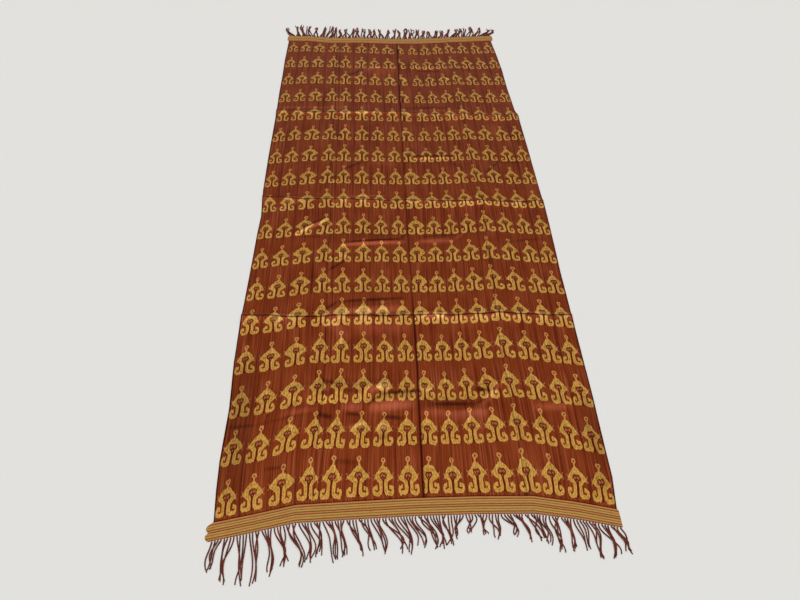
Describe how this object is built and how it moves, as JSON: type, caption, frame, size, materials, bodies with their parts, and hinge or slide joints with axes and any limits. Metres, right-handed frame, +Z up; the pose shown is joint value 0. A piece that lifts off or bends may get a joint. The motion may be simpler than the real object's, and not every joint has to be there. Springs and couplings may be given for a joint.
{
  "type": "ikat woven cloth",
  "caption": "Ceremonial warp ikat cloth laid flat: brick red with rows of gold house-like figures, twined gold headings and a twisted warp fringe at each end.",
  "frame": {"origin": "middle of the bounding box, on the floor under the cloth", "axes": "+X across the cloth to the right, +Y along the warp from the near end to the far end, +Z up"},
  "size_m": [1.0942, 2.6942, 0.0121],
  "materials": {
    "ikat_cloth": "fine warp-faced ikat weave with a silky sheen, gold figures on brick red, lengthwise streaks of the dyed threads",
    "heading_cord": "matte gold cord rows between tan and brown ones",
    "fringe_cord": "twisted dark red-brown warp threads, matte"
  },
  "bodies": {
    "root": {"panel_left": "ikat_cloth", "panel_right": "ikat_cloth", "heading_near": "heading_cord", "heading_far": "heading_cord", "fringe_near": "fringe_cord", "fringe_far": "fringe_cord"}
  },
  "joints": []
}
